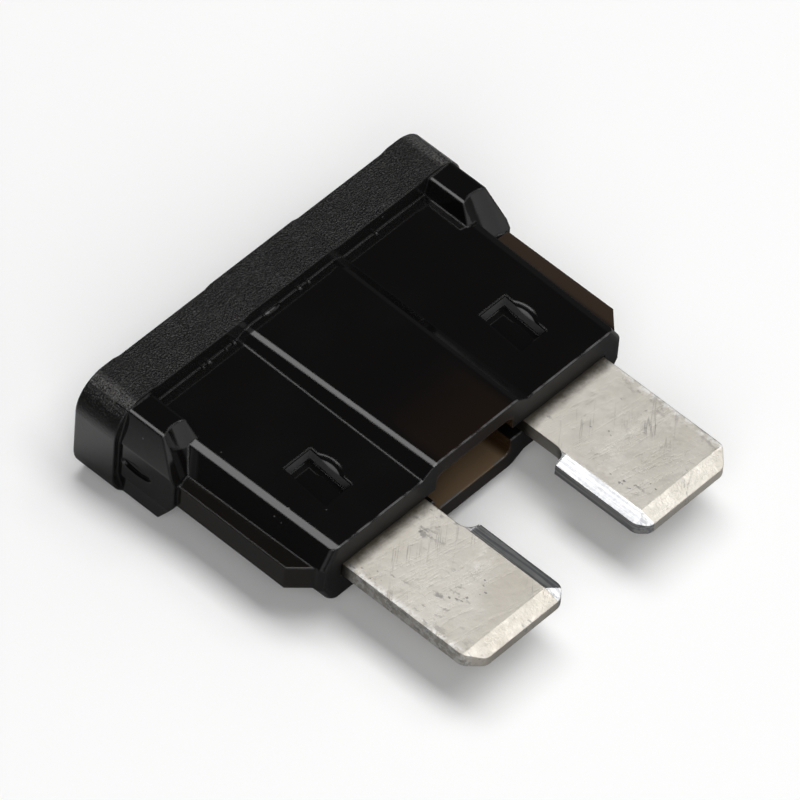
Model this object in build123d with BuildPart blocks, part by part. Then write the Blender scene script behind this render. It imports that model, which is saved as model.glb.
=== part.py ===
"""Automotive blade fuse: a moulded housing with one stamped fuse element inside.

Frame: the fuse lies flat, +Z up through its thickness, X across both blades,
+Y from the blade tips towards the head. The origin is the middle of the
underside of the bounding box, so the head rests on Z = 0.
"""
import os
from math import atan, cos, radians, sin, tan

from build123d import *

# ---- overall sizes (regular blade fuse) ----
overall_width = 19.1        # head, along X
overall_height = 18.5       # blade tips to head, along Y
overall_thickness = 5.1     # head, along Z

# ---- head bar ----
head_height = 2.1           # along Y
recess_depth = 0.1          # shallow bands between the raised middle and ends
raised_middle_half = 2.25   # half width of the raised middle
raised_end_inner = 7.55     # where the raised ends begin
step_run = 0.35             # width of the sloped step between the bands
head_end_radius = 1.45      # big rounding at both ends
head_edge_radius = 0.1      # around the outer face

# ---- body under the head ----
blade_length = 6.76         # exposed length, body end to blade tip
centre_half_width_head = 2.53   # raised centre panel, at the head
centre_half_width_end = 2.34    # and at the blade end
centre_step_run_head = 0.4  # sloped side of the centre panel, at the head
centre_step_run_end = 0.58  # and at the blade end
centre_roll = 0.2           # soft facet along its long edges
centre_half_thickness = 1.86
side_half_thickness_head = 1.62
side_half_thickness_end = 1.48
panel_edge_head = 7.98      # outer edge of the side panels at the head
panel_edge_end = 7.78       # and at the blade end
side_draft = 0.52           # how far the side walls lean out
panel_edge_roll = 0.32      # soft facet along the outer edge of the side panels
roll_tilt = 12              # degrees, of both facets
body_corner_radius = 0.3    # ends of the side walls
body_overlap = 0.6          # body and shoulders reach this far into the head

# ---- shoulders under the head ends ----
shoulder_inner = 7.66       # top of the inner face, from the middle
shoulder_lean = 0.22        # how far the inner face leans in at its foot
shoulder_outer = 9.3
shoulder_length = 1.8       # below the head, along Y
shoulder_drop = 0.17        # lower than the head's face
shoulder_slope = 1.1        # length of the sloped end
shoulder_roll = 0.13        # soft facet along its top edges
shoulder_bevel_run = 0.4    # outer bevel, along X
shoulder_bevel_drop = 1.48  # and along Z
scoop_radius = 1.5          # shallow trough down the sloped end
scoop_depth = 0.1
scoop_x = 8.3               # its middle, halfway down
scoop_lean = 0.06           # and how far it leans outwards
scoop_overrun = 0.3         # share of the slope it runs past at each end

# ---- gate scar, on the -X shoulder ----
gate_below_head = 0.95
gate_length = 1.5
gate_height = 0.5
gate_depth = 0.1

# ---- side fins ----
fin_outer = 9.1
fin_half_thickness = 0.57
fin_end_gap = 0.4           # fin stops short of the body end
fin_head_gap = 0.5          # and of the head, inside the shoulder
fin_chamfer = 0.82

# ---- blades and element ----
metal_thickness = 0.65
blade_outer = 7.25
blade_inner = 2.07
notch_depth = 0.66          # narrower root, on the inner side
notch_length = 2.26         # past the body end
notch_radius = 0.55
tip_outer_chamfer = 0.66
tip_inner_chamfer = 0.42
tip_corner_radius = 0.5     # softens the corners of both chamfers
coin_inner_width = 0.62     # bevel along the inner edge
coin_inner_depth = 0.14
coin_tip_width = 0.68       # bevel along the tip
coin_tip_depth = 0.22
leg_top_gap = 0.95          # element stops short of the outer face of the head
link_width = 0.75
link_thickness = 0.25
link_bend_radius = 0.62
link_above_end = 3.4        # foot of the link, from the body end
link_below_top = 2.6        # its upper end, from the top of the legs
link_wall_gap = 0.5         # bends to the chamber side
link_overlap = 0.2          # into each leg

# ---- hollows in the housing ----
slot_clearance = 0.05       # around the metal in its slots
mouth_half_height = 1.11
mouth_wall = 0.6            # chamber side to the blade leg
mouth_corner_radius = 0.45
chamber_roof = 1.9          # plastic left above the link chamber

# ---- stake marks, pressed through each side panel ----
stake_width = 1.44          # along X
stake_length = 2.27         # along Y
stake_floor = 0.95          # height of the floor above the middle plane
stake_skew = 4.2            # degrees off the Y axis
stake_from_end = 4.05       # upper edge, from the body end
stake_left_x = -4.8         # +X edge of each pocket on the upper face
stake_right_x = 6.0
rivet_width = 0.8           # plastic pressed into the hole in the blade
rivet_length = 1.5
rivet_clearance = 0.05
rivet_offset = 0.1          # towards the -X side of its pocket
crescent_length = 1.5       # sheared dip along the +X edge of each pocket
crescent_width = 0.26
crescent_depth = 0.13
crescent_overrun = 3        # length of its cut, in crescent widths

# ---- test slots in the head ----
test_slot_length = 2.4
test_slot_width = 1.0
test_slot_x = 5.1

# ---- places worked out from the sizes above ----
head_far = overall_height / 2
head_near = head_far - head_height
tip = -overall_height / 2
body_end = tip + blade_length
mid = overall_thickness / 2
head_half = overall_thickness / 2
leg_inner = blade_inner + notch_depth
leg_top = head_far - leg_top_gap
notch_end = body_end - notch_length
fin_end = body_end + fin_end_gap
shoulder_end = head_near - shoulder_length
fin_start = head_near - fin_head_gap
mouth_half_width = leg_inner - mouth_wall
chamber_top = head_far - chamber_roof
stake_top = body_end + stake_from_end
same_place = 0.01           # corners this near a spot are picked as the ones there

os.makedirs("parts", exist_ok=True)


def head_outline():
    """Upper half of the head's section: raised middle and ends, shallow bands."""
    half_width = overall_width / 2
    band = head_half - recess_depth
    return [
        (raised_middle_half, head_half),
        (raised_middle_half + step_run, band),
        (raised_end_inner - step_run, band),
        (raised_end_inner, head_half),
        (half_width, head_half),
    ]


def closed_section(quarter):
    """Mirror a quarter outline into all four quarters, in order."""
    upper = [(-x, z) for x, z in reversed(quarter)] + quarter
    return upper + [(x, -z) for x, z in reversed(upper)]


def body_quarter(centre_half, step_run, edge, side_half):
    """Quarter section of the body: centre panel, side panel, leaning wall."""
    fall = tan(radians(roll_tilt))
    return [
        (centre_half - centre_roll, centre_half_thickness),
        (centre_half, centre_half_thickness - centre_roll * fall),
        (centre_half + step_run, side_half),
        (edge - panel_edge_roll, side_half),
        (edge, side_half - panel_edge_roll * fall),
        (edge + side_draft, fin_half_thickness),
    ]


def section_plane(y):
    """Plane across the fuse at height y, X to the right and Z up."""
    return Plane(origin=(0, y, mid), x_dir=(1, 0, 0), z_dir=(0, -1, 0))


def flat_plane(z):
    """Horizontal plane, z above the middle of the thickness."""
    return Plane.XY.offset(mid + z)


def stake_outline(right_x):
    """Skewed rectangle of a stake pocket; right_x is its upper +X corner."""
    lean = stake_length * tan(radians(stake_skew))
    return [
        (right_x, stake_top),
        (right_x - lean, stake_top - stake_length),
        (right_x - lean - stake_width, stake_top - stake_length),
        (right_x - stake_width, stake_top),
    ]


def rivet_centre(right_x):
    """Middle of the plastic pressed through the blade under a pocket."""
    return (right_x - stake_width / 2 - rivet_offset, stake_top - stake_length / 2)


def side_half_thickness(y):
    """Half thickness of the side panels at height y."""
    share = (y - body_end) / (head_near + body_overlap - body_end)
    return side_half_thickness_end + share * (side_half_thickness_head - side_half_thickness_end)


# ---- shoulder: one end, then mirrored to the other ----
shoulder_top = head_half - shoulder_drop
shoulder_foot = side_half_thickness_end
shoulder_fall = shoulder_roll * tan(radians(roll_tilt))
bevel_top = shoulder_outer - shoulder_bevel_run
shoulder_quarter = [
    (shoulder_inner, shoulder_top - shoulder_fall),
    (shoulder_inner + shoulder_roll, shoulder_top),
    (bevel_top - shoulder_roll, shoulder_top),
    (bevel_top, shoulder_top - shoulder_fall),
    (shoulder_outer, shoulder_top - shoulder_bevel_drop),
]
shoulder_section = [
    (shoulder_inner - shoulder_lean, shoulder_foot),
    *shoulder_quarter,
    *[(x, -z) for x, z in reversed(shoulder_quarter)],
    (shoulder_inner - shoulder_lean, -shoulder_foot),
]
with BuildPart() as shoulder:
    with BuildSketch(section_plane(head_near + body_overlap)):
        with BuildLine():
            Polyline(*shoulder_section, close=True)
        make_face()
    extrude(amount=body_overlap + shoulder_length + shoulder_slope)
    for up in (1, -1):
        with BuildSketch(Plane(origin=(0, 0, mid), x_dir=(0, 1, 0), z_dir=(1, 0, 0))):
            with BuildLine():
                Polyline(
                    (shoulder_end, up * shoulder_top),
                    (shoulder_end - shoulder_slope, up * fin_half_thickness),
                    (shoulder_end - shoulder_slope, up * shoulder_top),
                    close=True,
                )
            make_face()
        extrude(amount=overall_width, mode=Mode.SUBTRACT)
    slope_drop = shoulder_top - fin_half_thickness
    for up in (1, -1):
        start = Vector(scoop_x - scoop_lean, shoulder_end, mid + up * shoulder_top)
        run = Vector(2 * scoop_lean, -shoulder_slope, -up * slope_drop)
        outwards = Vector(0, -slope_drop, up * shoulder_slope).normalized()
        axis_start = start + outwards * (scoop_radius - scoop_depth) - run * scoop_overrun
        with BuildSketch(Plane(origin=axis_start, z_dir=run)):
            Circle(scoop_radius)
        extrude(amount=run.length * (1 + 2 * scoop_overrun), mode=Mode.SUBTRACT)

# ---- housing ----
with BuildPart() as housing:
    # body: centre panel and side panels, thinner towards the blades
    head_quarter = body_quarter(
        centre_half_width_head, centre_step_run_head, panel_edge_head, side_half_thickness_head
    )
    end_quarter = body_quarter(
        centre_half_width_end, centre_step_run_end, panel_edge_end, side_half_thickness_end
    )
    for y, quarter in ((head_near + body_overlap, head_quarter), (body_end, end_quarter)):
        with BuildSketch(section_plane(y)):
            with BuildLine():
                Polyline(*closed_section(quarter), close=True)
            make_face()
    loft(ruled=True)
    end_face = housing.faces().sort_by(Axis.Y)[0]
    wall_ends = end_face.edges().filter_by(lambda e: abs(e.center().X) > panel_edge_end)
    fillet(wall_ends, body_corner_radius)

    # head bar
    with BuildSketch(section_plane(head_far)) as head_section:
        with BuildLine():
            Polyline(*closed_section(head_outline()), close=True)
        make_face()
        ends = head_section.vertices().group_by(Axis.X)
        fillet(ends[0] + ends[-1], head_end_radius)
    extrude(amount=head_height)
    far_face = housing.faces().sort_by(Axis.Y)[-1]
    fillet(far_face.edges(), head_edge_radius)

    # shoulders
    add(shoulder.part)
    add(mirror(shoulder.part, about=Plane.YZ, mode=Mode.PRIVATE))

    # shallow scar where the plastic entered the mould
    gate_place = (-shoulder_outer, head_near - gate_below_head, mid)
    with BuildSketch(Plane(origin=gate_place, x_dir=(0, 1, 0), z_dir=(-1, 0, 0))):
        Ellipse(gate_length / 2, gate_height / 2)
    extrude(amount=-gate_depth, mode=Mode.SUBTRACT)

    # side fins
    fin_inner = panel_edge_end
    with BuildSketch(flat_plane(-fin_half_thickness)) as fins:
        for side in (1, -1):
            with Locations((side * (fin_inner + fin_outer) / 2, (fin_start + fin_end) / 2)):
                Rectangle(fin_outer - fin_inner, fin_start - fin_end)
        low = fins.vertices().group_by(Axis.Y)[0].sort_by(Axis.X)
        chamfer([low[0], low[-1]], fin_chamfer)
    extrude(amount=2 * fin_half_thickness)

    # slot for the whole element, open at the blade end
    slot_half = metal_thickness / 2 + slot_clearance
    slot_top = leg_top + slot_clearance
    with BuildSketch(flat_plane(-slot_half)):
        with Locations((0, (slot_top + body_end) / 2)):
            Rectangle(2 * (blade_outer + slot_clearance), slot_top - body_end)
    extrude(amount=2 * slot_half, mode=Mode.SUBTRACT)

    # mouth and chamber around the link
    with BuildSketch(section_plane(chamber_top)):
        RectangleRounded(2 * mouth_half_width, 2 * mouth_half_height, mouth_corner_radius)
    extrude(amount=chamber_top - body_end, mode=Mode.SUBTRACT)

    # stake pockets on both faces, turned half round about Y on the lower one
    for right_x in (stake_left_x, stake_right_x):
        with BuildSketch(flat_plane(stake_floor)):
            with BuildLine():
                Polyline(*stake_outline(right_x), close=True)
            make_face()
        extrude(amount=head_half, mode=Mode.SUBTRACT)
        with BuildSketch(flat_plane(-stake_floor)):
            with BuildLine():
                Polyline(*[(-x, y) for x, y in stake_outline(right_x)], close=True)
            make_face()
        extrude(amount=-head_half, mode=Mode.SUBTRACT)

    # sheared dip along the +X edge of each pocket: a cylinder that rises outwards
    dip_radius = (crescent_length**2 / 4 + crescent_depth**2) / (2 * crescent_depth)
    dip_rise = atan(crescent_depth / crescent_width)
    skew = radians(stake_skew)
    for right_x in (stake_left_x, stake_right_x):
        y = stake_top - stake_length / 2
        x = right_x - stake_length / 2 * tan(skew)
        z = side_half_thickness(y)
        for up in (1, -1):
            edge_middle = Vector(up * x, y, mid + up * z)
            outwards = Vector(up * cos(skew), -sin(skew), 0)
            run = outwards * cos(dip_rise) + Vector(0, 0, up * sin(dip_rise))
            lift = Vector(0, 0, up * cos(dip_rise)) - outwards * sin(dip_rise)
            start = edge_middle + lift * (dip_radius - crescent_depth) - run * crescent_width
            with BuildSketch(Plane(origin=start, z_dir=run)):
                Circle(dip_radius)
            extrude(amount=crescent_overrun * crescent_width, mode=Mode.SUBTRACT)

    # plastic pressed through the blades
    with BuildSketch(flat_plane(-slot_half)):
        for right_x in (stake_left_x, stake_right_x):
            with Locations(rivet_centre(right_x)):
                Rectangle(rivet_width, rivet_length)
    extrude(amount=2 * slot_half)

    # test slots through the head, over the legs
    with BuildSketch(section_plane(head_far)):
        with Locations((-test_slot_x, 0), (test_slot_x, 0)):
            SlotOverall(test_slot_length, test_slot_width)
    extrude(amount=leg_top_gap, mode=Mode.SUBTRACT)

housing.part.label = "housing"
export_step(housing.part, "parts/housing.step")

# ---- fuse element ----
blade_outline = [
    (blade_inner + tip_inner_chamfer, tip),
    (blade_outer - tip_outer_chamfer, tip),
    (blade_outer, tip + tip_outer_chamfer),
    (blade_outer, leg_top),
    (leg_inner, leg_top),
    (leg_inner, notch_end),
    (blade_inner, notch_end),
    (blade_inner, tip + tip_inner_chamfer),
]
link_low = body_end + link_above_end
link_high = leg_top - link_below_top
link_half_span = mouth_half_width - link_width / 2 - link_wall_gap
link_middle = (link_low + link_high) / 2
with BuildPart() as fuse_element:
    with BuildSketch(flat_plane(-metal_thickness / 2)) as blades:
        for side in (1, -1):
            with BuildLine():
                Polyline(*[(side * x, y) for x, y in blade_outline], close=True)
            make_face()
        notches = blades.vertices().filter_by(
            lambda v: abs(v.Y - notch_end) < same_place and abs(abs(v.X) - leg_inner) < same_place
        )
        fillet(notches, notch_radius)
        tips = blades.vertices().filter_by(lambda v: v.Y < tip + tip_outer_chamfer + same_place)
        fillet(tips, tip_corner_radius)
        for right_x in (stake_left_x, stake_right_x):
            with Locations(rivet_centre(right_x)):
                Rectangle(
                    rivet_width + 2 * rivet_clearance,
                    rivet_length + 2 * rivet_clearance,
                    mode=Mode.SUBTRACT,
                )
    extrude(amount=metal_thickness)

    # coined bevel along the inner edge of each blade, upper face
    upper = metal_thickness / 2
    for side in (1, -1):
        with BuildSketch(section_plane(notch_end)):
            with BuildLine():
                Polyline(
                    (side * blade_inner, upper - coin_inner_depth),
                    (side * (blade_inner + coin_inner_width), upper),
                    (side * blade_inner, upper),
                    close=True,
                )
            make_face()
        extrude(amount=notch_end - tip, mode=Mode.SUBTRACT)

    # coined bevel along the tips, upper face
    with BuildSketch(Plane(origin=(-blade_outer, 0, mid), x_dir=(0, 1, 0), z_dir=(1, 0, 0))):
        with BuildLine():
            Polyline(
                (tip, upper - coin_tip_depth),
                (tip + coin_tip_width, upper),
                (tip, upper),
                close=True,
            )
        make_face()
    extrude(amount=2 * blade_outer, mode=Mode.SUBTRACT)

    # thin S-shaped link between the legs
    with BuildSketch(flat_plane(-link_thickness / 2)):
        with BuildLine() as link_line:
            FilletPolyline(
                (-leg_inner - link_overlap, link_low),
                (link_half_span, link_low),
                (link_half_span, link_middle),
                (-link_half_span, link_middle),
                (-link_half_span, link_high),
                (leg_inner + link_overlap, link_high),
                radius=link_bend_radius,
            )
        trace(line_width=link_width)
    extrude(amount=link_thickness)

fuse_element.part.label = "fuse_element"
export_step(fuse_element.part, "parts/fuse_element.step")
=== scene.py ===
# %% [markdown]
# # An automotive blade fuse
#
# A blade fuse is two pieces: a small housing, moulded in one shot of smoky, nearly black
# plastic, and a stamped metal element, whose two blades stick out of it. The head bar was
# spark-textured in the mould, and the panels were polished. The blades are plated zinc, dull
# and lightly scuffed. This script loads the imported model, lights it as a small product, and
# gives each surface its own finish.

from math import cos, degrees, pi, radians, sin

import bmesh
import bpy
from mathutils import Matrix, Vector


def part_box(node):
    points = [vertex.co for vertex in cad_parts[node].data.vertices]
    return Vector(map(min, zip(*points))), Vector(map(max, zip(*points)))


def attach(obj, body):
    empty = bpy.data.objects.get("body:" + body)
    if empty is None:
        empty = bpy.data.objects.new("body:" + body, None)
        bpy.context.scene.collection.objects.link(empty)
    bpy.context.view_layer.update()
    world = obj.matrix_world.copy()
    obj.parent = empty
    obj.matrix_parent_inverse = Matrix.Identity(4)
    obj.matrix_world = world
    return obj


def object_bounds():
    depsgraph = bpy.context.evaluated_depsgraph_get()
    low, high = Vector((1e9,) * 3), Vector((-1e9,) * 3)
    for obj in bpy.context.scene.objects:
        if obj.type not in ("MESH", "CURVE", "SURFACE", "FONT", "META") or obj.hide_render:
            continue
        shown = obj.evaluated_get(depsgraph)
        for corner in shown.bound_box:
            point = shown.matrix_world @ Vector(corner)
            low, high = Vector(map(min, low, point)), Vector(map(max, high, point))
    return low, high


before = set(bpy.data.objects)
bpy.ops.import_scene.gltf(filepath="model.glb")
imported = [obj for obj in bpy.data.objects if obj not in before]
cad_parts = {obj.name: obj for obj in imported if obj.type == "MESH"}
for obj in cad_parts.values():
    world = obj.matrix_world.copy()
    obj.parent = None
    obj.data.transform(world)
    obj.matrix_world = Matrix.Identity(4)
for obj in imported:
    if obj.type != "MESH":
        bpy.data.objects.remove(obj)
cad_low, cad_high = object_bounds()
MM = 0.001
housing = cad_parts["housing"]
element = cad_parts["fuse_element"]
housing_low, housing_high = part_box("housing")

# %% [markdown]
# ## The camera
#
# The fuse is a small thing looked at through a long lens from well away, so parallel edges
# stay almost parallel. The camera looks down on it from one side, partly from the blades'
# end, and is tilted a few degrees. A tracking constraint could aim it, but that keeps the
# horizon level. Here its matrix is built from three unit vectors instead, right, up and back,
# so the tilt is one more angle.

# %% Camera
VIEW_AZIMUTH = radians(-50.83)
VIEW_ELEVATION = radians(49.83)
VIEW_ROLL = radians(5.01)
VIEW_DISTANCE = 418.9 * MM
VIEW_LENS = 498.5
VIEW_TARGET = Vector((0.34 * MM, 1.63 * MM, 2.55 * MM))
NEAREST_SEEN = 10 * MM


def view_axes(azimuth, elevation, roll):
    """The camera's right, up and back vectors."""
    back = Vector((sin(azimuth) * cos(elevation), -cos(azimuth) * cos(elevation), sin(elevation)))
    level = Vector((cos(azimuth), sin(azimuth), 0))
    rise = back.cross(level)
    right = level * cos(roll) + rise * sin(roll)
    return right, back.cross(right), back


right, up, back = view_axes(VIEW_AZIMUTH, VIEW_ELEVATION, VIEW_ROLL)
camera_data = bpy.data.cameras.new("camera")
camera_data.lens = VIEW_LENS
camera_data.clip_start = NEAREST_SEEN
camera = bpy.data.objects.new("camera", camera_data)
turn = Matrix((right, up, back)).transposed().to_4x4()
camera.matrix_world = Matrix.Translation(VIEW_TARGET + back * VIEW_DISTANCE) @ turn
bpy.context.scene.collection.objects.link(camera)
bpy.context.scene.camera = camera
bpy.context.scene.view_settings.view_transform = "Standard"
print("camera stands", round(camera.location.length, 3), "m away")

# %% [markdown]
# ## Small steps with nodes
#
# A finish here is a chain of small sums: a mask says where something is, 1 inside and 0
# outside, and a colour or a roughness is mixed in by it. Adding each node by hand would hide
# the chain, so a few helpers add one node each and return its output, ready for the next.

# %% Node helpers


def new_material(name):
    """A material with only its output node left, and its node tree."""
    material = bpy.data.materials.new(name)
    material.use_nodes = True
    tree = material.node_tree
    for node in list(tree.nodes):
        if node.type != "OUTPUT_MATERIAL":
            tree.nodes.remove(node)
    return material, tree


def put(tree, value, socket):
    """Link a socket, or set a plain value."""
    if isinstance(value, bpy.types.NodeSocket):
        tree.links.new(value, socket)
    else:
        socket.default_value = value


def arithmetic(tree, operation, a, b=0.0):
    """One Math node."""
    node = tree.nodes.new("ShaderNodeMath")
    node.operation = operation
    put(tree, a, node.inputs[0])
    put(tree, b, node.inputs[1])
    return node.outputs[0]


def product(tree, first, *others):
    """Several values or masks multiplied."""
    for value in others:
        first = arithmetic(tree, "MULTIPLY", first, value)
    return first


def total(tree, first, *others):
    """Several values added up."""
    for value in others:
        first = arithmetic(tree, "ADD", first, value)
    return first


def ramp(tree, value, start, end, low=0.0, high=1.0):
    """Value between start and end, spread smoothly from low to high."""
    node = tree.nodes.new("ShaderNodeMapRange")
    node.interpolation_type = "SMOOTHSTEP"
    put(tree, value, node.inputs["Value"])
    node.inputs["From Min"].default_value = start
    node.inputs["From Max"].default_value = end
    node.inputs["To Min"].default_value = low
    node.inputs["To Max"].default_value = high
    return node.outputs["Result"]


def mix_colours(tree, factor, a, b):
    """Colour a where factor is 0, b where it is 1."""
    node = tree.nodes.new("ShaderNodeMix")
    node.data_type = "RGBA"
    put(tree, factor, node.inputs["Factor"])
    put(tree, a, node.inputs[6])
    put(tree, b, node.inputs[7])
    return node.outputs[2]


def show(tree, shader):
    """Send a shader to the material's output."""
    tree.links.new(shader.outputs[0], tree.nodes["Material Output"].inputs["Surface"])


print("node helpers ready")

# %% [markdown]
# ## Floor and light
#
# A glossy black object shows its surroundings more than itself, so they are kept plain: a
# pale floor, a dim grey room, and six soft boxes and cards. The main box hangs overhead, a
# little off to one side, so that the flat panels mirror the dark room, while their rounded
# edges and the blades' bevels mirror the box. The cards each brighten one set of side faces.
# Mirrored rays see painted shade on the floor, darker than the eye does, except in a narrow
# ring round the fuse. That keeps the low side walls black, with one soft paler band.

# %% Floor
FLOOR_SIZE = 1.2
FLOOR_GAP = 0.02 * MM
FLOOR_COLOUR = (0.95, 0.95, 0.945, 1)
# Painted shade, seen only by mirrored rays: shaded under the fuse, and dark beyond the pale ring.
SHADE_COLOUR = (0.20, 0.20, 0.20, 1)
PAINTED_FAR_SHADE = (0.16, 0.16, 0.16, 1)
RING_INSIDE = (13.2 * MM, 15.2 * MM)
RING_OUTSIDE = (14.5 * MM, 25.0 * MM)


def floor_material():
    """Pale paper. Mirrored rays see it shaded under the fuse, pale in a ring, then dark."""
    material, tree = new_material("pale paper")
    radius = tree.nodes.new("ShaderNodeVectorMath")
    radius.operation = "LENGTH"
    tree.links.new(tree.nodes.new("ShaderNodeTexCoord").outputs["Object"], radius.inputs[0])
    inside = ramp(tree, radius.outputs["Value"], *RING_INSIDE, 1.0, 0.0)
    outside = ramp(tree, radius.outputs["Value"], *RING_OUTSIDE)
    mirrored = tree.nodes.new("ShaderNodeLightPath").outputs["Is Glossy Ray"]
    paper = tree.nodes.new("ShaderNodeBsdfDiffuse")
    paper.inputs["Color"].default_value = FLOOR_COLOUR
    shade = tree.nodes.new("ShaderNodeBsdfDiffuse")
    put(tree, mix_colours(tree, outside, SHADE_COLOUR, PAINTED_FAR_SHADE), shade.inputs["Color"])
    mix = tree.nodes.new("ShaderNodeMixShader")
    put(tree, product(tree, total(tree, inside, outside), mirrored), mix.inputs["Fac"])
    put(tree, paper.outputs[0], mix.inputs[1])
    put(tree, shade.outputs[0], mix.inputs[2])
    show(tree, mix)
    return material


def mesh_object(name, bm, material):
    """Turn a bmesh into an object at the origin, with one material."""
    mesh = bpy.data.meshes.new(name)
    bm.to_mesh(mesh)
    bm.free()
    mesh.materials.append(material)
    piece = bpy.data.objects.new(name, mesh)
    bpy.context.scene.collection.objects.link(piece)
    return piece


bm = bmesh.new()
bmesh.ops.create_grid(bm, x_segments=1, y_segments=1, size=FLOOR_SIZE / 2)
bmesh.ops.translate(bm, verts=bm.verts, vec=(0, 0, cad_low.z - FLOOR_GAP))
floor = mesh_object("floor", bm, floor_material())
print("floor", round(FLOOR_GAP / MM, 2), "mm below the fuse")

# %% Lights
BOX_HEIGHT = 0.5
BOX_SIZE = (0.21, 0.60)
BOX_PLACE = (0.085, -0.03)
BOX_RADIANCE = 4.9
FRONT_SIZE = (0.18, 0.20)
FRONT_PLACE = (0.30, -0.05)
FRONT_RADIANCE = 3.0
CARD_SIZE = (1.3, 0.44)
CARD_PLACE = (0.36, -0.60, 0.20)
CARD_RADIANCE = 1.0
SIDE_SIZE = (0.5, 0.3)
SIDE_PLACE = (-0.55, -0.25, 0.16)
SIDE_RADIANCE = 0.7
EYE_SIZE = (0.42, 0.42)
EYE_PLACE = (-0.38, -0.30, 0.40)
EYE_RADIANCE = 3.0
BACK_SIZE = (0.30, 0.16)
BACK_PLACE = (0.50, 0.27, 0.27)
BACK_RADIANCE = 0.08
BACK_COLOUR = (0.85, 0.94, 1.0)
ROOM_COLOUR = (0.045, 0.045, 0.046, 1)


def area_light(name, place, size, radiance, aim):
    """A rectangular soft box at place, facing aim, as bright as its radiance says."""
    data = bpy.data.lights.new(name, "AREA")
    data.shape = "RECTANGLE"
    data.size, data.size_y = size
    data.energy = radiance * pi * size[0] * size[1]
    light = bpy.data.objects.new(name, data)
    light.location = place
    light.rotation_euler = (Vector(aim) - Vector(place)).to_track_quat("-Z", "Y").to_euler()
    bpy.context.scene.collection.objects.link(light)
    return light


def ceiling_light(name, place, size, radiance):
    """A soft box at ceiling height, facing straight down."""
    return area_light(name, (*place, BOX_HEIGHT), size, radiance, (*place, 0))


ceiling_light("overhead", BOX_PLACE, BOX_SIZE, BOX_RADIANCE)
ceiling_light("front", FRONT_PLACE, FRONT_SIZE, FRONT_RADIANCE)
area_light("front_card", CARD_PLACE, CARD_SIZE, CARD_RADIANCE, (0, 0, CARD_PLACE[2]))
area_light("side_card", SIDE_PLACE, SIDE_SIZE, SIDE_RADIANCE, (0, 0, SIDE_PLACE[2]))
area_light("eye_box", EYE_PLACE, EYE_SIZE, EYE_RADIANCE, (0, 0, 0))
rear = area_light("rear_card", BACK_PLACE, BACK_SIZE, BACK_RADIANCE, (0, 0, 0))
rear.data.color = BACK_COLOUR
world = bpy.data.worlds.new("room")
world.use_nodes = True
world.node_tree.nodes["Background"].inputs["Color"].default_value = ROOM_COLOUR
bpy.context.scene.world = world
print("lights:", [light.name for light in bpy.data.lights])

# %% [markdown]
# ## Shared effects
#
# Some effects are built once, as node groups, and placed with their own values: a fine
# grain, as a spark-eroded mould leaves it; scratches, drawn out along one direction; and
# specks of dust or dirt. Scratches and specks come back on both materials, and the grain's
# one output feeds colour, roughness and relief together. Each reads Object coordinates,
# which are metres here, so a scale of 1000 is about one feature a millimetre.

# %% Node group helpers


def new_group(name, inputs, output):
    """A shader node group with number inputs, a vector input and one number output."""
    group = bpy.data.node_groups.new(name, "ShaderNodeTree")
    group.interface.new_socket("Vector", in_out="INPUT", socket_type="NodeSocketVector")
    for label, value in inputs.items():
        socket = group.interface.new_socket(label, in_out="INPUT", socket_type="NodeSocketFloat")
        socket.default_value = value
    group.interface.new_socket(output, in_out="OUTPUT", socket_type="NodeSocketFloat")
    return group, group.nodes.new("NodeGroupInput"), group.nodes.new("NodeGroupOutput")


def use_group(tree, group, vector, **values):
    """Place a node group and return its output."""
    node = tree.nodes.new("ShaderNodeGroup")
    node.node_tree = group
    tree.links.new(vector, node.inputs["Vector"])
    for label, value in values.items():
        put(tree, value, node.inputs[label])
    return node.outputs[0]


def noise(tree, vector, scale, detail=2.0, roughness=0.5):
    """A noise texture; scale is a number or a socket."""
    node = tree.nodes.new("ShaderNodeTexNoise")
    node.inputs["Detail"].default_value = detail
    node.inputs["Roughness"].default_value = roughness
    tree.links.new(vector, node.inputs["Vector"])
    put(tree, scale, node.inputs["Scale"])
    return node.outputs["Fac"]


def mapped(tree, vector, scale=(1, 1, 1), turn=(0, 0, 0)):
    """A vector turned and stretched by a Mapping node."""
    node = tree.nodes.new("ShaderNodeMapping")
    node.inputs["Rotation"].default_value = turn
    node.inputs["Scale"].default_value = scale
    tree.links.new(vector, node.inputs["Vector"])
    return node.outputs["Vector"]


print("group helpers ready")

# %% Grain
FINER_GRAIN = 2.1
FINER_SHARE = 0.6


def grain_group():
    """Rounded pits and bumps of two sizes."""
    group, inside, out = new_group("spark grain", {"Scale": 9000.0}, "Height")
    coarse = noise(group, inside.outputs["Vector"], inside.outputs["Scale"], 0.0)
    finer_scale = product(group, inside.outputs["Scale"], FINER_GRAIN)
    fine = noise(group, inside.outputs["Vector"], finer_scale, 0.0)
    both = total(group, coarse, product(group, fine, FINER_SHARE))
    group.links.new(both, out.inputs["Height"])
    return group


GRAIN = grain_group()
print("node group:", GRAIN.name)

# %% Scratches
SCRATCH_STRETCH = (0.06, 1, 1)
SCRATCH_WIDTH = 0.02
SCRATCH_PATCHES = 420.0
PATCH_RANGE = (0.75, 1.0)


def scratch_group():
    """Thin broken lines along X of the vector; more of them as Amount grows."""
    group, inside, out = new_group("fine scratches", {"Scale": 900.0, "Amount": 0.4}, "Mask")
    vector = mapped(group, inside.outputs["Vector"], SCRATCH_STRETCH)
    lines = noise(group, vector, inside.outputs["Scale"], 4.0, 0.65)
    ridge = arithmetic(group, "ABSOLUTE", arithmetic(group, "SUBTRACT", lines, 0.5))
    thin = ramp(group, ridge, 0.0, SCRATCH_WIDTH, 1.0, 0.0)
    patches = noise(group, inside.outputs["Vector"], SCRATCH_PATCHES, 1.0)
    kept = ramp(group, total(group, patches, inside.outputs["Amount"]), *PATCH_RANGE)
    group.links.new(product(group, thin, kept), out.inputs["Mask"])
    return group


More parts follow.
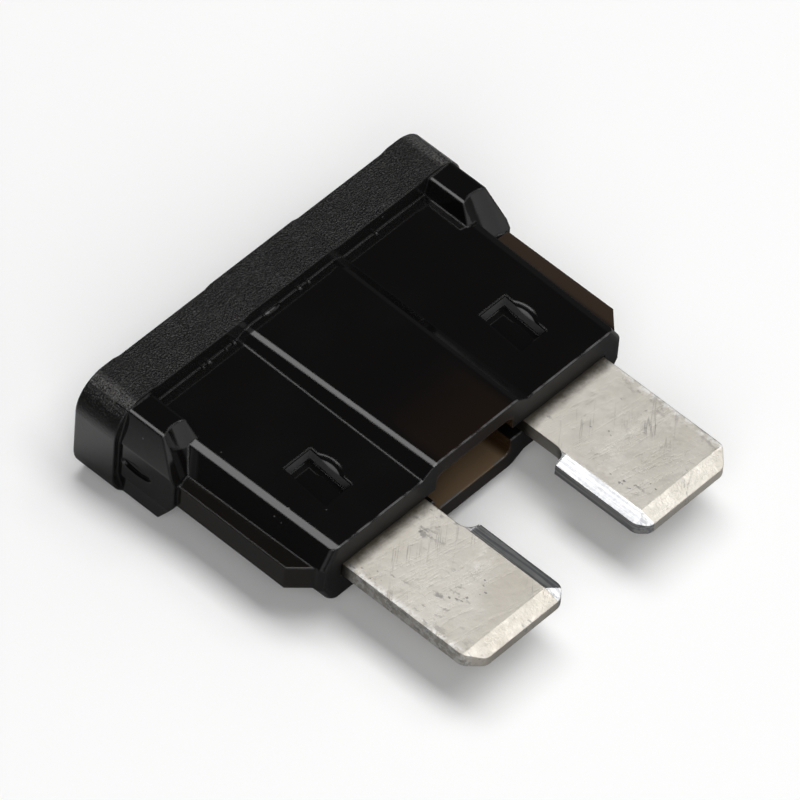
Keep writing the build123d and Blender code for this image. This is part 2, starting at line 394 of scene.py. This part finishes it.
SCRATCHES = scratch_group()
print("node group:", SCRATCHES.name)

# %% Specks
SPECK_EDGE = 0.05
SPECK_CLUSTERS = 700.0
CLUSTER_RANGE = (0.63, 0.68)


def speck_group():
    """Small separate dots, only in some places."""
    group, inside, out = new_group("specks", {"Scale": 1500.0, "Size": 0.12}, "Mask")
    cells = group.nodes.new("ShaderNodeTexVoronoi")
    group.links.new(inside.outputs["Vector"], cells.inputs["Vector"])
    group.links.new(inside.outputs["Scale"], cells.inputs["Scale"])
    edge = arithmetic(group, "SUBTRACT", inside.outputs["Size"], cells.outputs["Distance"])
    dots = ramp(group, edge, 0.0, SPECK_EDGE)
    rare = ramp(group, noise(group, inside.outputs["Vector"], SPECK_CLUSTERS, 0.0), *CLUSTER_RANGE)
    group.links.new(product(group, dots, rare), out.inputs["Mask"])
    return group


SPECKS = speck_group()
print("node group:", SPECKS.name)

# %% [markdown]
# ## The moulded plastic
#
# The whole housing is one shot of one plastic, so it is one material. What changes over it is
# the mould's finish: the head was spark-eroded, which leaves a fine matte grain, and the
# panels were polished. The plastic is smoky: where it is thin, at the side fins, round the mouth
# between the blades and over the chamber, light comes through it and it looks brown. Real
# see-through plastic would be slow and noisy at this size, so that light is painted into the
# colour.
#
# Separate materials on separate faces could tell the places apart, but the imported mesh stays
# as it is. So each place is a mask on the object's own coordinates: how far from the middle
# line, how far from the middle of the thickness, and how far along the fuse. The slope of a
# face matters as well: grain shows on flat tops more than on sides, and the painted highlights
# follow how a face tilts.

# %% Plastic: coordinates
HAIR = 0.02 * MM
MIDDLE = (cad_low.z + cad_high.z) / 2


def object_axes(tree):
    """The Object coordinates, and their three numbers."""
    coords = tree.nodes.new("ShaderNodeTexCoord").outputs["Object"]
    split = tree.nodes.new("ShaderNodeSeparateXYZ")
    tree.links.new(coords, split.inputs[0])
    return coords, *split.outputs


def away_from(tree, value, middle):
    """How far a value is from a middle, either way."""
    return arithmetic(tree, "ABSOLUTE", arithmetic(tree, "SUBTRACT", value, middle))


def up_to(tree, value, end):
    """1 below end, 0 above it."""
    return ramp(tree, value, end - HAIR, end, 1.0, 0.0)


def between(tree, value, start, end):
    """1 between start and end, 0 outside."""
    return product(tree, ramp(tree, value, start, start + HAIR), up_to(tree, value, end))


plastic, tree = new_material("smoky black plastic")
coords, x, y, z = object_axes(tree)
distance = arithmetic(tree, "ABSOLUTE", x)
height = away_from(tree, z, MIDDLE)
faces = tree.nodes.new("ShaderNodeSeparateXYZ")
tree.links.new(tree.nodes.new("ShaderNodeNewGeometry").outputs["True Normal"], faces.inputs[0])
upwards = arithmetic(tree, "ABSOLUTE", faces.outputs["Z"])
print("middle of the thickness at", round(MIDDLE / MM, 2), "mm")

# %% Plastic: masks for each place
HEAD_NEAR = housing_high.y - 2.1 * MM
BODY_END = housing_low.y
FIN_SIDE = (8.2 * MM, 8.6 * MM)
FIN_HALF = 0.57 * MM
FIN_FAR = 4.2 * MM
MOUTH_WIDE = 2.13 * MM
MOUTH_HIGH = 1.11 * MM
MOUTH_CORNER = (MOUTH_WIDE - 0.5 * MM, MOUTH_WIDE - 0.1 * MM)
CHAMBER_TOP = housing_high.y - 1.9 * MM
ROOF_SIDE = (1.6 * MM, 2.3 * MM)
ROOF_FADE = (-2.4 * MM, 1.5 * MM)
POCKET_SPAN = (3.0 * MM, 6.8 * MM)
POCKET_HEIGHTS = (0.95 * MM + HAIR, 1.45 * MM)
POCKET_FAR = 2 * MM
END_UPRIGHT = (0.3, 0.5)

head = ramp(tree, y, HEAD_NEAR - 2 * HAIR, HEAD_NEAR - HAIR)
fin = product(
    tree,
    ramp(tree, distance, *FIN_SIDE),
    up_to(tree, height, FIN_HALF + 2 * HAIR),
    between(tree, y, BODY_END, FIN_FAR),
)
mouth = product(
    tree,
    up_to(tree, distance, MOUTH_WIDE + HAIR),
    up_to(tree, height, MOUTH_HIGH + HAIR),
    between(tree, y, BODY_END - MM, CHAMBER_TOP + HAIR),
)
# Painted shade on the mouth's side walls.
shaded_mouth_sides = ramp(tree, distance, *MOUTH_CORNER)
# Painted light: the thin roof over the chamber, where light comes through.
roof_light = product(
    tree,
    ramp(tree, distance, *ROOF_SIDE, 1.0, 0.0),
    ramp(tree, y, *ROOF_FADE, 1.0, 0.0),
)
pocket = product(
    tree,
    between(tree, distance, *POCKET_SPAN),
    between(tree, height, *POCKET_HEIGHTS),
    between(tree, y, BODY_END + HAIR, POCKET_FAR),
)
end_face = product(
    tree,
    between(tree, y, BODY_END - HAIR, BODY_END + 3 * HAIR),
    ramp(tree, upwards, *END_UPRIGHT, 1.0, 0.0),
)
print("panels from", round(BODY_END / MM, 2), "to", round(HEAD_NEAR / MM, 2), "mm, then the head")

# %% [markdown]
# The head is not one even black. The tops of the grain catch the light, and that is painted in
# as pale flecks, in soft blotches where the mould wore. Where the flat top turns down at each
# end, the grain catches the light more, and that is painted in as a paler highlight band. An image
# texture could hold all this, but noise stays sharp at any distance, and the same grain can
# drive colour, roughness and relief at once.

# %% Plastic: the head's grain, colour and painted highlights
PLASTIC_BLACK = (0.0035, 0.0031, 0.0030, 1)
ROOF_LIGHT_BROWN = (0.0095, 0.0060, 0.0042, 1)
HEAD_BLACK = (0.0068, 0.0065, 0.0063, 1)
HEAD_FLECK_HIGHLIGHT = (0.029, 0.0275, 0.0265, 1)
HEAD_TURN_HIGHLIGHT = (0.085, 0.083, 0.081, 1)
GRAIN_SCALE = 13000.0
FLECK_RANGE = (0.78, 1.0)
TURN_HIGHLIGHT_GRAIN = (0.5, 1.0)
BLOTCH_SCALE = 900.0
BLOTCH_RANGE = (0.38, 0.6)
BLOTCH_SHARES = (0.25, 1.0)
RAISED_END = 7.55 * MM
TURN_FADE = 0.3 * MM
TURN_STARTS = (0.80, 0.90)
TURN_ENDS = (0.96, 0.995)

grain = use_group(tree, GRAIN, coords, Scale=GRAIN_SCALE)
blotch_noise = noise(tree, coords, BLOTCH_SCALE, 4.0, 0.65)
blotches = ramp(tree, blotch_noise, *BLOTCH_RANGE, *BLOTCH_SHARES)
# Painted highlights: pale flecks on the grain's tops, on up-facing faces only.
fleck_highlights = product(tree, ramp(tree, grain, *FLECK_RANGE), upwards, blotches)
# Painted highlight: a paler band where the flat top turns down at each end.
turning = product(
    tree,
    ramp(tree, upwards, *TURN_STARTS),
    ramp(tree, upwards, *TURN_ENDS, 1.0, 0.0),
    ramp(tree, distance, RAISED_END, RAISED_END + TURN_FADE),
)
painted_turn_highlight = product(tree, head, turning, ramp(tree, grain, *TURN_HIGHLIGHT_GRAIN))
# Painted light: brown where light comes through the thin roof over the chamber.
colour = mix_colours(tree, roof_light, PLASTIC_BLACK, ROOF_LIGHT_BROWN)
colour = mix_colours(tree, head, colour, mix_colours(tree, fleck_highlights, HEAD_BLACK, HEAD_FLECK_HIGHLIGHT))
colour = mix_colours(tree, painted_turn_highlight, colour, HEAD_TURN_HIGHLIGHT)
print("grain size about", round(1 / GRAIN_SCALE / MM, 3), "mm")

# %% [markdown]
# Below the head, the colour follows how thin the plastic is, with the light that comes through
# painted in. One fin has light behind it and is brown, and the other is nearly black; the mouth's
# sides get painted shade. The walls of the stake pockets were sheared, not polished, so they are
# grey. A little dust lies on the panels, and a pale highlight is painted along the sharp edge at
# the end of the body, broken up by noise. Each is laid over the last, so the order of the mixes
# matters.

# %% Plastic: light through thin places, pockets, dust and painted edge highlight
FIN_BROWN = (0.033, 0.0225, 0.0160, 1)
FIN_DARK = (0.0050, 0.0040, 0.0030, 1)
FIN_CHANGE = 2 * MM
MOUTH_BROWN = (0.112, 0.076, 0.045, 1)
MOUTH_SIDE_SHADE = (0.020, 0.011, 0.005, 1)
POCKET_GREY = (0.075, 0.075, 0.076, 1)
DUST_GREY = (0.16, 0.16, 0.16, 1)
DUST_SCALE = 1500.0
DUST_SIZE = 0.09
DUST_STRENGTH = 0.5
EDGE_HIGHLIGHT_GREY = (0.075, 0.075, 0.076, 1)
EDGE_WIDTH = 0.10 * MM
EDGE_LEVEL = (0.9, 0.95)
EDGE_BREAK_SCALE = 1800.0
EDGE_BREAK_RANGE = (0.35, 0.6)

# Painted light: brown where light comes through the thin fin and mouth; the fin with light behind
# it is brown, the other nearly black, and the mouth's sides get painted shade.
brown_side = ramp(tree, x, -FIN_CHANGE, FIN_CHANGE)
fin_colour = mix_colours(tree, brown_side, FIN_DARK, FIN_BROWN)
mouth_colour = mix_colours(tree, shaded_mouth_sides, MOUTH_BROWN, MOUTH_SIDE_SHADE)
dust = use_group(tree, SPECKS, coords, Scale=DUST_SCALE, Size=DUST_SIZE)
# Painted highlight: a pale line on the top faces along the body's sharp end edge, broken up by
# noise.
painted_end_edge_highlight = product(
    tree,
    between(tree, y, BODY_END - HAIR, BODY_END + EDGE_WIDTH),
    ramp(tree, upwards, *EDGE_LEVEL),
    ramp(tree, noise(tree, coords, EDGE_BREAK_SCALE, 3.0), *EDGE_BREAK_RANGE),
)
colour = mix_colours(tree, fin, colour, fin_colour)
colour = mix_colours(tree, mouth, colour, mouth_colour)
colour = mix_colours(tree, pocket, colour, POCKET_GREY)
colour = mix_colours(tree, product(tree, dust, DUST_STRENGTH), colour, DUST_GREY)
colour = mix_colours(tree, painted_end_edge_highlight, colour, EDGE_HIGHLIGHT_GREY)
print("the colour takes", len(tree.nodes), "nodes so far")

# %% [markdown]
# Roughness tells polished from matte. The panels are smooth, with a faint smear and a few
# hair scratches, and the pockets and the end face are duller. The head is rougher than the
# panels. The edges are sharp in the model. A Bevel modifier could round the mesh, but the
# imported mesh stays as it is, so a Bevel node rounds only the shading there. One Bump node
# adds the grain, the scratches and the slight waviness of moulded plastic.

# %% Plastic: roughness
SMEAR_SCALE = 300.0
SMEAR_RANGE = (0.3, 0.7)
PANEL_ROUGHNESS = (0.06, 0.13)
HEAD_ROUGHNESS = (0.22, 0.36)
GRAIN_PEAK = 1.1
TOP_SLOPE = (0.55, 0.9)
SIDE_GRAIN = 0.08
SCRATCH_SCALE = 700.0
SCRATCH_AMOUNT = 0.12
SCRATCH_DULL = 0.25
POCKET_DULL = 0.4
END_DULL = 0.45


def mix_values(tree, factor, a, b):
    """Value a where factor is 0, b where it is 1."""
    node = tree.nodes.new("ShaderNodeMix")
    put(tree, factor, node.inputs["Factor"])
    put(tree, a, node.inputs[2])
    put(tree, b, node.inputs[3])
    return node.outputs[0]


rough_top = ramp(tree, upwards, *TOP_SLOPE, SIDE_GRAIN, 1.0)
scratches = use_group(tree, SCRATCHES, coords, Scale=SCRATCH_SCALE, Amount=SCRATCH_AMOUNT)
panel_roughness = total(
    tree,
    ramp(tree, noise(tree, coords, SMEAR_SCALE, 3.0), *SMEAR_RANGE, *PANEL_ROUGHNESS),
    product(tree, scratches, SCRATCH_DULL),
    product(tree, pocket, POCKET_DULL),
    product(tree, end_face, END_DULL),
)
head_grain = product(tree, grain, rough_top)
head_roughness = ramp(tree, head_grain, 0.0, GRAIN_PEAK, *HEAD_ROUGHNESS)
roughness = mix_values(tree, head, panel_roughness, head_roughness)
print("roughness: panels", PANEL_ROUGHNESS, "head", HEAD_ROUGHNESS)

# %% Plastic: relief and shader
PLASTIC_EDGE = 0.12 * MM
GRAIN_HEIGHT = 0.08 * MM
SCRATCH_DEPTH = -0.012
PEEL_SCALE = 1100.0
PEEL_HEIGHT = 0.05
BEVEL_SAMPLES = 6
PLASTIC_IOR = 1.5
PLASTIC_SPECULAR = 0.38


def relief_normal(tree, relief, edge, strength, height):
    """The shading normal: edges rounded by a Bevel node, relief added by a Bump node."""
    soft_edge = tree.nodes.new("ShaderNodeBevel")
    soft_edge.samples = BEVEL_SAMPLES
    soft_edge.inputs["Radius"].default_value = edge
    bump = tree.nodes.new("ShaderNodeBump")
    bump.inputs["Strength"].default_value = strength
    bump.inputs["Distance"].default_value = height
    tree.links.new(relief, bump.inputs["Height"])
    tree.links.new(soft_edge.outputs["Normal"], bump.inputs["Normal"])
    return bump.outputs["Normal"]


relief = total(
    tree,
    product(tree, grain, head, rough_top),
    product(tree, scratches, SCRATCH_DEPTH),
    product(tree, noise(tree, coords, PEEL_SCALE, 2.0), PEEL_HEIGHT),
)
normal = relief_normal(tree, relief, PLASTIC_EDGE, 1.0, GRAIN_HEIGHT)
shader = tree.nodes.new("ShaderNodeBsdfPrincipled")
shader.inputs["IOR"].default_value = PLASTIC_IOR
shader.inputs["Specular IOR Level"].default_value = PLASTIC_SPECULAR
put(tree, colour, shader.inputs["Base Color"])
put(tree, roughness, shader.inputs["Roughness"])
put(tree, normal, shader.inputs["Normal"])
show(tree, shader)
print(plastic.name, "has", len(tree.nodes), "nodes")

# %% [markdown]
# ## The plated metal
#
# The blades are zinc with a dull tin plating. Pressing left a warm grey skin with fine lines
# across the strip, and handling added scuffs, dark rubbed marks, bright worn edges and some
# grime where the blades enter the housing; the same darkening there is also painted shade from
# the housing. Most of that is a change of colour, with a slight relief where lines and scuffs
# cut into the skin. The coined bevels along the blades' inner edges are a different finish:
# pressed smoother, with fine stripes along them.
#
# Even spots look drawn, so the marks read coordinates that a second noise has pushed about.

# %% Metal: coordinates and masks
BLADE_INNER = 2.07 * MM
BLADE_OUTER = 7.25 * MM
COIN_INNER = 0.62 * MM
COIN_TIP = 0.68 * MM
WOBBLE = 0.12 * MM
WOBBLE_SCALE = 9000.0


def wobbled(tree, vector, scale, reach):
    """A vector pushed about by a noise, at most by reach."""
    push = tree.nodes.new("ShaderNodeTexNoise")
    push.inputs["Scale"].default_value = scale
    tree.links.new(vector, push.inputs["Vector"])
    bent = tree.nodes.new("ShaderNodeVectorMath")
    bent.operation = "MULTIPLY_ADD"
    bent.inputs[1].default_value = (reach, reach, reach)
    tree.links.new(push.outputs["Color"], bent.inputs[0])
    tree.links.new(vector, bent.inputs[2])
    return bent.outputs[0]


metal, tree = new_material("plated blade metal")
coords, x, y, _ = object_axes(tree)
distance = arithmetic(tree, "ABSOLUTE", x)
coined = up_to(tree, distance, BLADE_INNER + COIN_INNER)
flat = arithmetic(tree, "SUBTRACT", 1.0, coined)
tip = up_to(tree, y, cad_low.y + COIN_TIP)
bent = wobbled(tree, coords, WOBBLE_SCALE, WOBBLE)
print("coined bevels", round(COIN_INNER / MM, 2), "mm wide")

# %% Metal: lines, scuffs and spots
PRESS_TURN = (0, 0, radians(8))
PRESS_SCALE = 2600.0
PRESS_AMOUNT = 0.55
SCUFF_TURN = (0, 0, radians(-38))
SCUFF_LINES = 1300.0
SCUFF_AMOUNT = 0.28
MARK_STRETCH = (1.0, 0.6, 1)
MARK_TURN = (0, 0, radians(12))
MARK_SCALE = 4600.0
MARK_SIZE = 0.2
BLOT_STRETCH = (1.0, 0.45, 1)
BLOT_SCALE = 4200.0
BLOT_RANGE = (0.55, 0.68)
RUB_SCALE = 520.0
RUB_RANGE = (0.56, 0.66)
RUB_EDGE = 1.2 * MM
SCUFF_DARK = 0.4
MARK_DARK = 0.6
EDGE_DARK = 0.7
BLOT_DARK = 0.5

press_lines = mapped(tree, coords, turn=PRESS_TURN)
press = use_group(tree, SCRATCHES, press_lines, Scale=PRESS_SCALE, Amount=PRESS_AMOUNT)
scuff_lines = mapped(tree, coords, turn=SCUFF_TURN)
scuffs = use_group(tree, SCRATCHES, scuff_lines, Scale=SCUFF_LINES, Amount=SCUFF_AMOUNT)
mark_spots = mapped(tree, bent, MARK_STRETCH, MARK_TURN)
marks = use_group(tree, SPECKS, mark_spots, Scale=MARK_SCALE, Size=MARK_SIZE)
blots = ramp(tree, noise(tree, mapped(tree, bent, BLOT_STRETCH), BLOT_SCALE, 3.0), *BLOT_RANGE)
rubbed = ramp(tree, noise(tree, coords, RUB_SCALE, 2.0), *RUB_RANGE)
edges = product(tree, ramp(tree, distance, BLADE_OUTER - RUB_EDGE, BLADE_OUTER), EDGE_DARK)
rubs = product(
    tree,
    arithmetic(tree, "MAXIMUM", rubbed, edges),
    product(tree, blots, BLOT_DARK),
)
dark = arithmetic(
    tree,
    "MAXIMUM",
    product(tree, scuffs, SCUFF_DARK),
    product(tree, marks, MARK_DARK),
)
dark = product(tree, arithmetic(tree, "MAXIMUM", dark, rubs), flat)
turns = [round(degrees(turn[2])) for turn in (PRESS_TURN, SCUFF_TURN, MARK_TURN)]
print("lines, scuffs and marks turned by", turns, "degrees")

# %% Metal: colour
METAL_WARM = (0.55, 0.515, 0.455, 1)
METAL_PALE = (0.63, 0.60, 0.545, 1)
METAL_DARK = (0.09, 0.09, 0.10, 1)
METAL_BRIGHT = (0.80, 0.79, 0.76, 1)
METAL_PRESSED = (0.62, 0.62, 0.61, 1)
METAL_LINED = (0.36, 0.365, 0.375, 1)
SHADE_AND_GRIME = (0.075, 0.066, 0.052, 1)
CLOUD_SCALE = 260.0
CLOUD_RANGE = (0.35, 0.65)
FINE_CLOUD_SCALE = 2200.0
BAND_MIDDLE = cad_low.y + 3.1 * MM
BAND_HALF = 1.3 * MM
BAND_STRENGTH = 0.4
WORN_STRETCH = (0.5, 1, 1)
WORN_SCALE = 2600.0
WORN_RANGE = (0.45, 0.7)
RIM = (BLADE_OUTER - 0.35 * MM, BLADE_OUTER - 0.05 * MM)
CHAFE_SCALE = 3200.0
CHAFE_RANGE = (0.42, 0.6)
STRIPE_STRETCH = (1, 0.03, 1)
STRIPE_SCALE = 7000.0
STRIPE_RANGE = (0.42, 0.58)
SHADE_GRIME_CREEP = 0.4 * MM
SHADE_GRIME_RANGE = (BODY_END - 0.5 * MM, BODY_END + 0.15 * MM)

cloud = ramp(tree, noise(tree, coords, CLOUD_SCALE, 4.0, 0.6), *CLOUD_RANGE)
fine_cloud = noise(tree, coords, FINE_CLOUD_SCALE, 3.0, 0.6)
band = ramp(tree, away_from(tree, y, BAND_MIDDLE), 0.0, BAND_HALF, 1.0, 0.0)
worn_skin = noise(tree, mapped(tree, coords, WORN_STRETCH), WORN_SCALE, 5.0, 0.75)
worn = product(tree, ramp(tree, worn_skin, *WORN_RANGE), band, BAND_STRENGTH)
chafed = ramp(tree, noise(tree, bent, CHAFE_SCALE, 3.0, 0.7), *CHAFE_RANGE)
rim = product(tree, ramp(tree, distance, *RIM), chafed)
stripes = noise(tree, mapped(tree, coords, STRIPE_STRETCH), STRIPE_SCALE, 2.0)
coined_colour = mix_colours(tree, ramp(tree, stripes, *STRIPE_RANGE), METAL_PRESSED, METAL_LINED)
# Painted shade plus some grime: darker where the blades go into the housing.
shade_and_grime = ramp(tree, total(tree, y, product(tree, fine_cloud, SHADE_GRIME_CREEP)), *SHADE_GRIME_RANGE)
colour = mix_colours(tree, cloud, METAL_WARM, METAL_PALE)
colour = mix_colours(tree, worn, colour, METAL_BRIGHT)
colour = mix_colours(tree, rim, colour, METAL_BRIGHT)
colour = mix_colours(tree, coined, colour, coined_colour)
colour = mix_colours(tree, shade_and_grime, colour, SHADE_AND_GRIME)
colour = mix_colours(tree, dark, colour, METAL_DARK)
print("worn band", round((BAND_MIDDLE - cad_low.y) / MM, 2), "mm from the tips")

# %% Metal: roughness, relief and shader
FLAT_ROUGHNESS = (0.42, 0.56)
FLAT_RANGE = (0.3, 0.7)
COINED_ROUGHNESS = (0.33, 0.38)
PRESS_SHINE = -0.1
FROST_SCALE = 9000.0
FROST_RANGE = (0.4, 0.65)
PRESS_DEPTH = -0.3
SCUFF_DEPTH = -0.5
CLOUD_HEIGHT = 1.2
FROST_HEIGHT = 0.3
METAL_EDGE = 0.05 * MM
METAL_STRENGTH = 0.6
METAL_RELIEF = 0.01 * MM

frost = ramp(tree, noise(tree, coords, FROST_SCALE, 1.0), *FROST_RANGE)
flat_roughness = total(
    tree,
    ramp(tree, fine_cloud, *FLAT_RANGE, *FLAT_ROUGHNESS),
    product(tree, press, PRESS_SHINE),
)
coined_roughness = ramp(tree, frost, 0.0, 1.0, *COINED_ROUGHNESS)
roughness = mix_values(tree, coined, flat_roughness, coined_roughness)
flat_relief = total(
    tree,
    product(tree, press, PRESS_DEPTH),
    product(tree, scuffs, SCUFF_DEPTH),
    product(tree, fine_cloud, CLOUD_HEIGHT),
)
tip_relief = product(tree, frost, tip, FROST_HEIGHT)
relief = total(tree, product(tree, flat_relief, flat), tip_relief)
normal = relief_normal(tree, relief, METAL_EDGE, METAL_STRENGTH, METAL_RELIEF)
shader = tree.nodes.new("ShaderNodeBsdfPrincipled")
shader.inputs["Metallic"].default_value = 1.0
put(tree, colour, shader.inputs["Base Color"])
put(tree, roughness, shader.inputs["Roughness"])
put(tree, normal, shader.inputs["Normal"])
show(tree, shader)
print(metal.name, "has", len(tree.nodes), "nodes")

# %% [markdown]
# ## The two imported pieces
#
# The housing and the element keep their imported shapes, because those are the real sizes.
# Each is one piece of one stuff, so it needs one slot: the slots that it came with are
# emptied, and its finish takes their place.

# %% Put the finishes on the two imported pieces


def dress(piece, material):
    """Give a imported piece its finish."""
    piece.data.materials.clear()
    piece.data.materials.append(material)


dress(housing, plastic)
dress(element, metal)
print("materials:", [m.name for m in bpy.data.materials])

# %% [markdown]
# ## Moulding flash
#
# Where the panels meet the head, two parts of the mould closed on each other, and a little
# plastic crept between them. It stays as a row of tiny nibs, one of them drawn out into a
# leaf. Bump could fake them, but they stand proud and catch the light, so they are real
# shapes: each is a ball pressed flat and stretched along the corner, and all are one mesh.
# The other face of the fuse has the same row, turned half round.

# %% Flash nibs along the head
PANEL_TOP = MIDDLE + 1.86 * MM
SIDE_TOP = MIDDLE + 1.61 * MM
# Each nib: its place across the fuse, the height it lies at, and half its length.
NIBS = (
    (-1.10 * MM, PANEL_TOP, 0.48 * MM),
    (-3.14 * MM, SIDE_TOP, 0.10 * MM),
    (-4.50 * MM, SIDE_TOP, 0.13 * MM),
    (-4.86 * MM, SIDE_TOP, 0.06 * MM),
    (-3.60 * MM, SIDE_TOP, 0.05 * MM),
    (0.92 * MM, PANEL_TOP, 0.09 * MM),
    (0.45 * MM, PANEL_TOP, 0.12 * MM),
    (4.70 * MM, SIDE_TOP, 0.08 * MM),
)
NIB_ROW = HEAD_NEAR - 0.05 * MM
NIB_DEPTH = 0.15 * MM
NIB_HEIGHT = 0.085 * MM
bm = bmesh.new()
for place, top, half in NIBS:
    for side in (1, -1):
        ball = bmesh.ops.create_icosphere(bm, subdivisions=3, radius=1.0)
        bmesh.ops.scale(bm, verts=ball["verts"], vec=(half, NIB_DEPTH, NIB_HEIGHT))
        lift = top if side == 1 else 2 * MIDDLE - top
        bmesh.ops.translate(bm, verts=ball["verts"], vec=(side * place, NIB_ROW, lift))
flash = mesh_object("moulding_flash", bm, plastic)
for face in flash.data.polygons:
    face.use_smooth = True
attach(flash, "root")
print("flash nibs:", 2 * len(NIBS))
